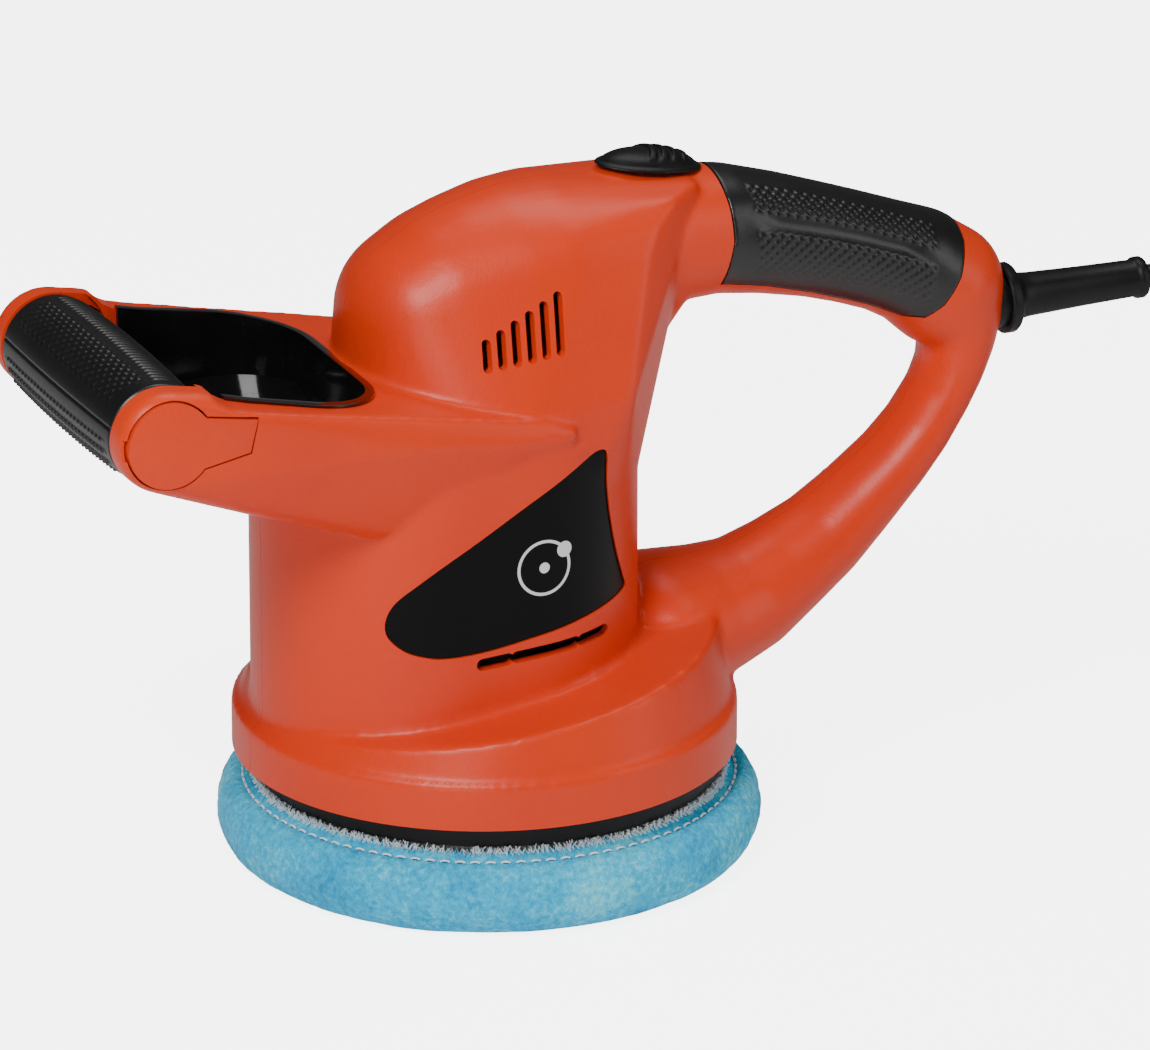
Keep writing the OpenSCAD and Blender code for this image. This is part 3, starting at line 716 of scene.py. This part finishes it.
def strands(name, lines, radius, sides=2, closed=False):
    """Round strands along lines of points, in millimetres, as one curve."""
    data = bpy.data.curves.new(name, "CURVE")
    data.dimensions = "3D"
    data.bevel_depth = radius * MM
    data.bevel_resolution = sides
    data.use_fill_caps = True
    for line in lines:
        spline = data.splines.new("POLY")
        spline.points.add(len(line) - 1)
        for point, place in zip(spline.points, line):
            point.co = (*(Vector(place) * MM), 1)
        spline.use_cyclic_u = closed
    item = bpy.data.objects.new(name, data)
    bpy.context.scene.collection.objects.link(item)
    return item


# ---------- front handle ----------

GRIP_SEAM = 75.0


def grip_relief(y, turn):
    """Pattern moulded into the front grip, turn in degrees from its top towards the front."""
    arc = math.radians(turn) * GRIP_R
    end = GRIP_HALF - abs(y)
    weave = fade(turn, 4, 10) * (1 - fade(turn, 46, 56)) * fade(end, 4, 9)
    ribs = fade(turn, -66, -58) * (1 - fade(turn, -6, 1)) * fade(end, 3, 6)
    pads = fade(turn, 90, 94) * (1 - fade(turn, 134, 140)) * fade(end, 3, 6)
    height = weave * 0.5 * studs(y, arc, (3.9, 3.3))
    height += ribs * 0.42 * (0.5 + 0.5 * math.cos(math.tau * y / 2.35))
    along, around = max(0, math.cos(math.tau * y / 2.6)), max(0, math.cos(math.tau * (arc - 26.5) / 4.2))
    height += pads * 0.8 * along * around ** 0.5
    return height


def grip_half(first, name):
    """Rubber half sleeve over 179.6 degrees."""
    rows, columns = ((330, 150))
    rings = []
    for i in range(rows + 1):
        y = GRIP_HALF * (2 * i / rows - 1)
        bulk = GRIP_R - 0.35 - 1.1 * (y / GRIP_HALF) ** 2 - 0.9 * (1 - fade(GRIP_HALF - abs(y), 0, 1.4))
        ring = []
        for k in range(columns + 1):
            turn = first + 179.6 * k / columns
            radius = bulk + grip_relief(y, turn) - 0.35 * (1 - fade(min(k, columns - k) / columns, 0, 0.012))
            angle = math.radians(turn)
            ring.append((GRIP_X - radius * math.sin(angle), y, GRIP_Z + radius * math.cos(angle)))
        for k in range(24, -1, -1):
            turn = math.radians(first + 179.6 * k / 24)
            ring.append((GRIP_X - 8.05 * math.sin(turn), y, GRIP_Z + 8.05 * math.cos(turn)))
        rings.append(ring)
    finish_piece(ringed(rings), name, "housing", "grip", replaces=[name.replace("sleeve", "grip")], angle=50)


def make_front_handle():
    grip_half(GRIP_SEAM - 179.8, "front_sleeve_upper")
    grip_half(GRIP_SEAM + 0.2, "front_sleeve_lower")
    cup = bowl_form(0.5, LINER_FLOOR, 178)
    lip = bowl_form(-0.7, LINER_FLOOR, 178)
    cut(lip, rim_slab(0.15), "INTERSECT")
    cup = merged([cup, lip])
    cut(cup, rim_slab(1.1))
    cut(cup, bowl_form(2.0, LINER_FLOOR + 1.5, 190))
    cut(cup, block((-130, -50, 163), (-99.5, 50, 200)))
    cut(cup, rod((GRIP_X, -60, GRIP_Z), (GRIP_X, 60, GRIP_Z), GRIP_R + 1, sides=96))
    modified(cup, "BEVEL", width=0.45 * MM, segments=3, limit_method="ANGLE", angle_limit=math.radians(50))
    finish_piece(cup, "finger_cup", "housing", "liner", replaces=["front_liner"])
    for side, name in ((-1, "left"), (1, "right")):
        cap = merged(cap_form(side, -0.05, ARM_Y - 4.2, ARM_Y + 0.25))
        modified(cap, "BEVEL", width=0.7 * MM, segments=4, limit_method="ANGLE", angle_limit=math.radians(40))
        finish_piece(cap, f"arm_cap_{name}", "housing", "shell", replaces=[f"screw_cap_{name}"])


# ---------- rear grip, badges, switch ----------

def bar_axis(x):
    """Height of the top bar's centre line at x."""
    for (x0, z0, *_), (x1, z1, *_) in zip(TOP_BAR, TOP_BAR[1:]):
        if x <= x1:
            return z0 + (z1 - z0) * (x - x0) / (x1 - x0)
    return TOP_BAR[-1][1]


def rear_relief(x, turn):
    """Pattern of the rear grip, turn in degrees from the top to either side."""
    arc = math.radians(turn) * 18
    ends = fade(x, 79.5, 82) * (1 - fade(x, 142.5 - 0.05 * turn, 145 - 0.05 * turn))
    upper = fade(turn, 26, 30) * (1 - fade(turn, 55, 59))
    lower = fade(turn, 71, 75) * (1 - fade(turn, 112, 118))
    flute = fade(turn, 54, 64) * (1 - fade(turn, 66, 76)) * fade(x, 79.5, 89) * (1 - fade(x, 131, 141.5))
    return ends * (upper + lower) * (0.25 - 0.42 * studs(x, arc, (3.2, 3.2))) - 0.75 * flute


def make_rear_grip(solid):
    grip = modified(copy_of(solid), "DISPLACE", strength=0.3 * MM, mid_level=0)
    cut(grip, grip_zone(0), "INTERSECT")
    cut(grip, drawn_in(solid, 1.5))
    modified(grip, "REMESH", mode="VOXEL", voxel_size=0.5 * MM)
    modified(grip, "SMOOTH", factor=0.5, iterations=4)
    outward = [vertex.normal.copy() for vertex in grip.data.vertices]
    for vertex, normal in zip(grip.data.vertices, outward):
        x, y, z = vertex.co / MM
        radial = Vector((0, y, z - bar_axis(x)))
        if normal.dot(radial.normalized()) > 0.5:
            turn = abs(math.degrees(math.atan2(radial.y, radial.z)))
            vertex.co += normal * (rear_relief(x, turn) * MM)
    finish_piece(grip, "rear_sleeve", "housing", "grip", replaces=["rear_grip"], angle=60)


def make_badges(solid):
    skin = drawn_in(solid, 1.55)
    for side, name in ((-1, "left"), (1, "right")):
        plate = outline_slab(rounded(BADGE), 0, side * 80)
        cut(plate, drawn_in(solid, 0.55), "INTERSECT")
        cut(plate, skin, keep=True)
        finish_piece(plate, f"side_badge_{name}", "housing", "badge", replaces=[f"badge_{name}"])
    bpy.data.objects.remove(skin, do_unlink=True)


def make_switch():
    """Oval thumb slide: a rimmed shoe, a low crown and curved finger ridges."""
    def oval(length, width, height, lift=0.0):
        bpy.ops.mesh.primitive_uv_sphere_add(segments=96, ring_count=48, radius=MM, location=(0, 0, lift * MM))
        bpy.context.object.scale = (length, width, height)
        return settle()
    crown = merged([oval(17, 10, 2.6), oval(15.6, 8.8, 5)])
    ridges = []
    for i in range(4):
        outer = rod((-13, 0, 1), (-13, 0, 12), 13.9 + 3.6 * i, sides=128)
        cut(outer, rod((-13, 0, 0), (-13, 0, 13), 12.1 + 3.6 * i, sides=128))
        ridges.append(cut(outer, oval(15.4, 8.3, 5.9), "INTERSECT"))
    button = merged([crown] + ridges)
    cut(button, block((-30, -30, -20), (30, 30, 0)))
    button = merged([button, block((-4, -2.5, -12), (4, 2.5, 0.5))])
    modified(button, "REMESH", mode="VOXEL", voxel_size=0.3 * MM)
    modified(button, "SMOOTH", factor=0.5, iterations=3)
    button.rotation_euler = (0, math.radians(BUTTON_TILT), 0)
    button.location = Vector(BUTTON) * MM
    select_only(button)
    finish_piece(settle(), "thumb_slide", "switch", "black_plastic", replaces=["switch_button"], angle=60)


# ---------- bonnet ----------

FLEECE = [(0, 0), (40, 0), (66, 0), (72, 0.1), (76.2, 1.0), (79.3, 3.6), (81.3, 7.4), (81.9, 11.8), (81.3, 16.2),
          (79.6, 19.6), (77.4, 21.8), (75.4, 22.5), (74.3, 22.0), (73.5, 21.9), (72.6, 22.8), (71.0, 23.8),
          (69.5, 24.3), (68.6, 24.0), (68.5, 23.0), (67.4, 21), (66.5, 16), (66.3, 8.5), (64, 7.2), (40, 7.05),
          (0, 7.05)]


def make_bonnet():
    """Fleece bonnet: a soft roll round the pad, a seam groove and a hem with overlock stitches."""
    random.seed(11)
    steps = 620
    outline = smooth_line([(r, 0, z) for r, z in FLEECE], 1.6)
    rings = []
    for i in range(steps):
        turn = math.tau * i / steps
        ring = []
        for point in outline:
            radius, height = point.x, point.z
            if radius > 66 and height > 0.3:
                place = Vector((math.cos(turn) * radius, math.sin(turn) * radius, height))
                soft = mathutils_noise.noise(place * 0.045) * 0.7 + mathutils_noise.noise(place * 0.16) * 0.35
                nap = mathutils_noise.noise(place * 0.9) * 0.28 + mathutils_noise.noise(place * 1.9) * 0.16
                swell = fade(radius, 67, 76)
                radius += swell * (soft + nap) - (0.35 if swell > 0.9 else 0)
                height += (0.5 * soft if height > 20 else 0) + nap * 0.3
            ring.append((PAD[0] + max(radius, 0.02) * math.cos(turn), PAD[1] + max(radius, 0.02) * math.sin(turn),
                         max(height, 0)))
        rings.append(ring)
    cover = ringed(rings, wrap=True)
    finish_piece(cover, "fleece_bonnet", "pad", "fleece", replaces=["bonnet"], angle=70)

    def at(turn, radius, height):
        return PAD[0] + radius * math.cos(turn), PAD[1] + radius * math.sin(turn), height

    dashes = []
    for i in range(104):
        start = math.tau * i / 104
        dashes.append([at(start + k * 0.0125, 73.8, 22.35 + 0.4 * math.sin(math.pi * k / 3)) for k in range(4)])
    overlock, turn = [], 0.0
    while turn < math.tau - 0.012:
        rise = random.uniform(-0.3, 0.5)
        overlock.append(at(turn, 71.5 + random.uniform(-0.5, 0.5), 23.9 + rise * 0.3))
        overlock.append(at(turn + 0.007, 69.0 + random.uniform(-0.6, 0.3), 24.9 + rise))
        turn += random.uniform(0.017, 0.026)
    frays = []
    for i in range(900):
        turn, reach = random.uniform(0, math.tau), random.uniform(0.8, 2.6)
        lean = random.uniform(-0.02, 0.02)
        frays.append([at(turn, 70.6, 24.0),
                      at(turn + lean * 0.4, 70.7 + random.uniform(-0.3, 0.8), 24.4 + 0.4 * reach),
                      at(turn + lean, 70.6 + random.uniform(-0.4, 1.2), 24.6 + 0.8 * reach)])
    for name, lines, radius, closed in (("hem_stitches", dashes, 0.38, False),
                                        ("hem_overlock", [overlock], 0.4, True),
                                        ("hem_fray", frays, 0.16, False)):
        thread = strands(name, lines, radius, 1, closed)
        select_only(thread)
        bpy.ops.object.convert(target="MESH")
        finish_piece(bpy.context.object, name, "pad", "fleece", material="thread", angle=60)


# ---------- cord ----------

ROUTE = [(155, 0, 148), (185, 0, 148), (216, 0, 148), (230, 0, 148), (242, 0, 145.5), (253, 0, 138.5),
         (260, 0, 128), (262, 0, 116), (262, 0, 95), (262, 0, 75), (262, 0, 54), (262, 0, 35.5), (262, 2.5, 23),
         (262, 9.5, 13),
         (262, 20, 6), (262, 32, 3.8), (262, 42, 3.7)]
TAIL = [(PLUG_X, 42, 10.6), (PLUG_X, 34, 10.5), (PLUG_X, 22, 9.8), (PLUG_X, 10, 8.4), (PLUG_X, 2, 8)]


def coil_point(s):
    """Place on the coil after s degrees of winding: three turns inwards, then three outwards on top."""
    inward = fade(s, 300, 360) + fade(s, 660, 720)
    outward = fade(s, 1260, 1320) + fade(s, 1620, 1680)
    radius = COIL_OUTER_R - COIL_STEP * inward + COIL_STEP * outward
    height = LAYER_Z + LAYER_STEP * fade(s, 960, 1020)
    turn = math.radians(180 - s)
    return COIL[0] + radius * math.cos(turn), COIL[1] + radius * math.sin(turn), height


def make_cord():
    """The supply cord in one piece, from inside the strain relief to the plug."""
    coil = [Vector(coil_point(s)) for s in range(0, 1980, 6)]
    line = smooth_line(ROUTE, 4)[:-1] + coil + smooth_line(TAIL, 4)
    cord = strands("mains_cord", [line], CORD_R, 4)
    finish_piece(cord, "mains_cord", "housing", "cord", replaces=["power_cord", "cord_coil", "cord_tail"],
                 angle=None)


def make_plug():
    plug = hulled([rod((PLUG_X, 4, PLUG_Z), (PLUG_X, 0, PLUG_Z), 5.6, sides=48)]
                  + [rod((x, -12, PLUG_Z), (x, -29.4, PLUG_Z), 7.6, sides=48) for x in (PLUG_X - 5, PLUG_X + 5)])
    modified(plug, "REMESH", mode="VOXEL", voxel_size=0.6 * MM)
    modified(plug, "SMOOTH", factor=0.5, iterations=8)
    for y in (-16, -19, -22):
        for s in (-1, 1):
            cut(plug, rod((PLUG_X + s * 16, y, PLUG_Z - 9), (PLUG_X + s * 16, y, PLUG_Z + 9), 4.2, sides=32))
    cut(plug, rod((PLUG_X, 9, PLUG_Z), (PLUG_X, 1, PLUG_Z), CORD_R, sides=48))
    finish_piece(plug, "moulded_plug", "housing", "cord", replaces=["plug_body"], angle=50)


def make_strain_relief():
    profile = [(3.6, 161), (9.8, 161), (9.8, 163), (8.8, 163.1), (8.8, 169.2), (10.3, 169.2), (10.75, 169.7),
               (10.75, 172.3), (10.3, 172.9), (8.6, 173.3), (7.6, 174.3), (7.0, 176), (6.7, 179), (6.1, 196),
               (5.7, 213.4), (5.9, 214.4), (6.35, 214.9), (6.4, 215.5), (6.4, 216.9), (6.0, 217.5), (3.6, 217.5)]
    sleeve = turned(profile, (0, 0, EXIT[2]), axis=(1, 0, 0), across=(0, 0, 1))
    finish_piece(sleeve, "cord_sleeve", "housing", "black_plastic", replaces=["strain_relief"], angle=40)


def dress_cad_nodes():
    """Gives every node that is shown as the frame has it the material of its slot."""
    slots = {part["node"]: part["material_slot"] for part in frame["record"]["subparts"]}
    for name, item in frame["nodes"].items():
        item.data.materials.clear()
        item.data.materials.append(MATERIALS[slots[name]])


make_materials()
make_camera()
make_plug()
make_cord()
make_studio()
solid = shell_form(0, 1.15, 8)
make_housing(solid)
make_rear_grip(solid)
make_badges(solid)
bpy.data.objects.remove(solid, do_unlink=True)
make_front_handle()
make_switch()
make_strain_relief()
make_bonnet()
dress_cad_nodes()
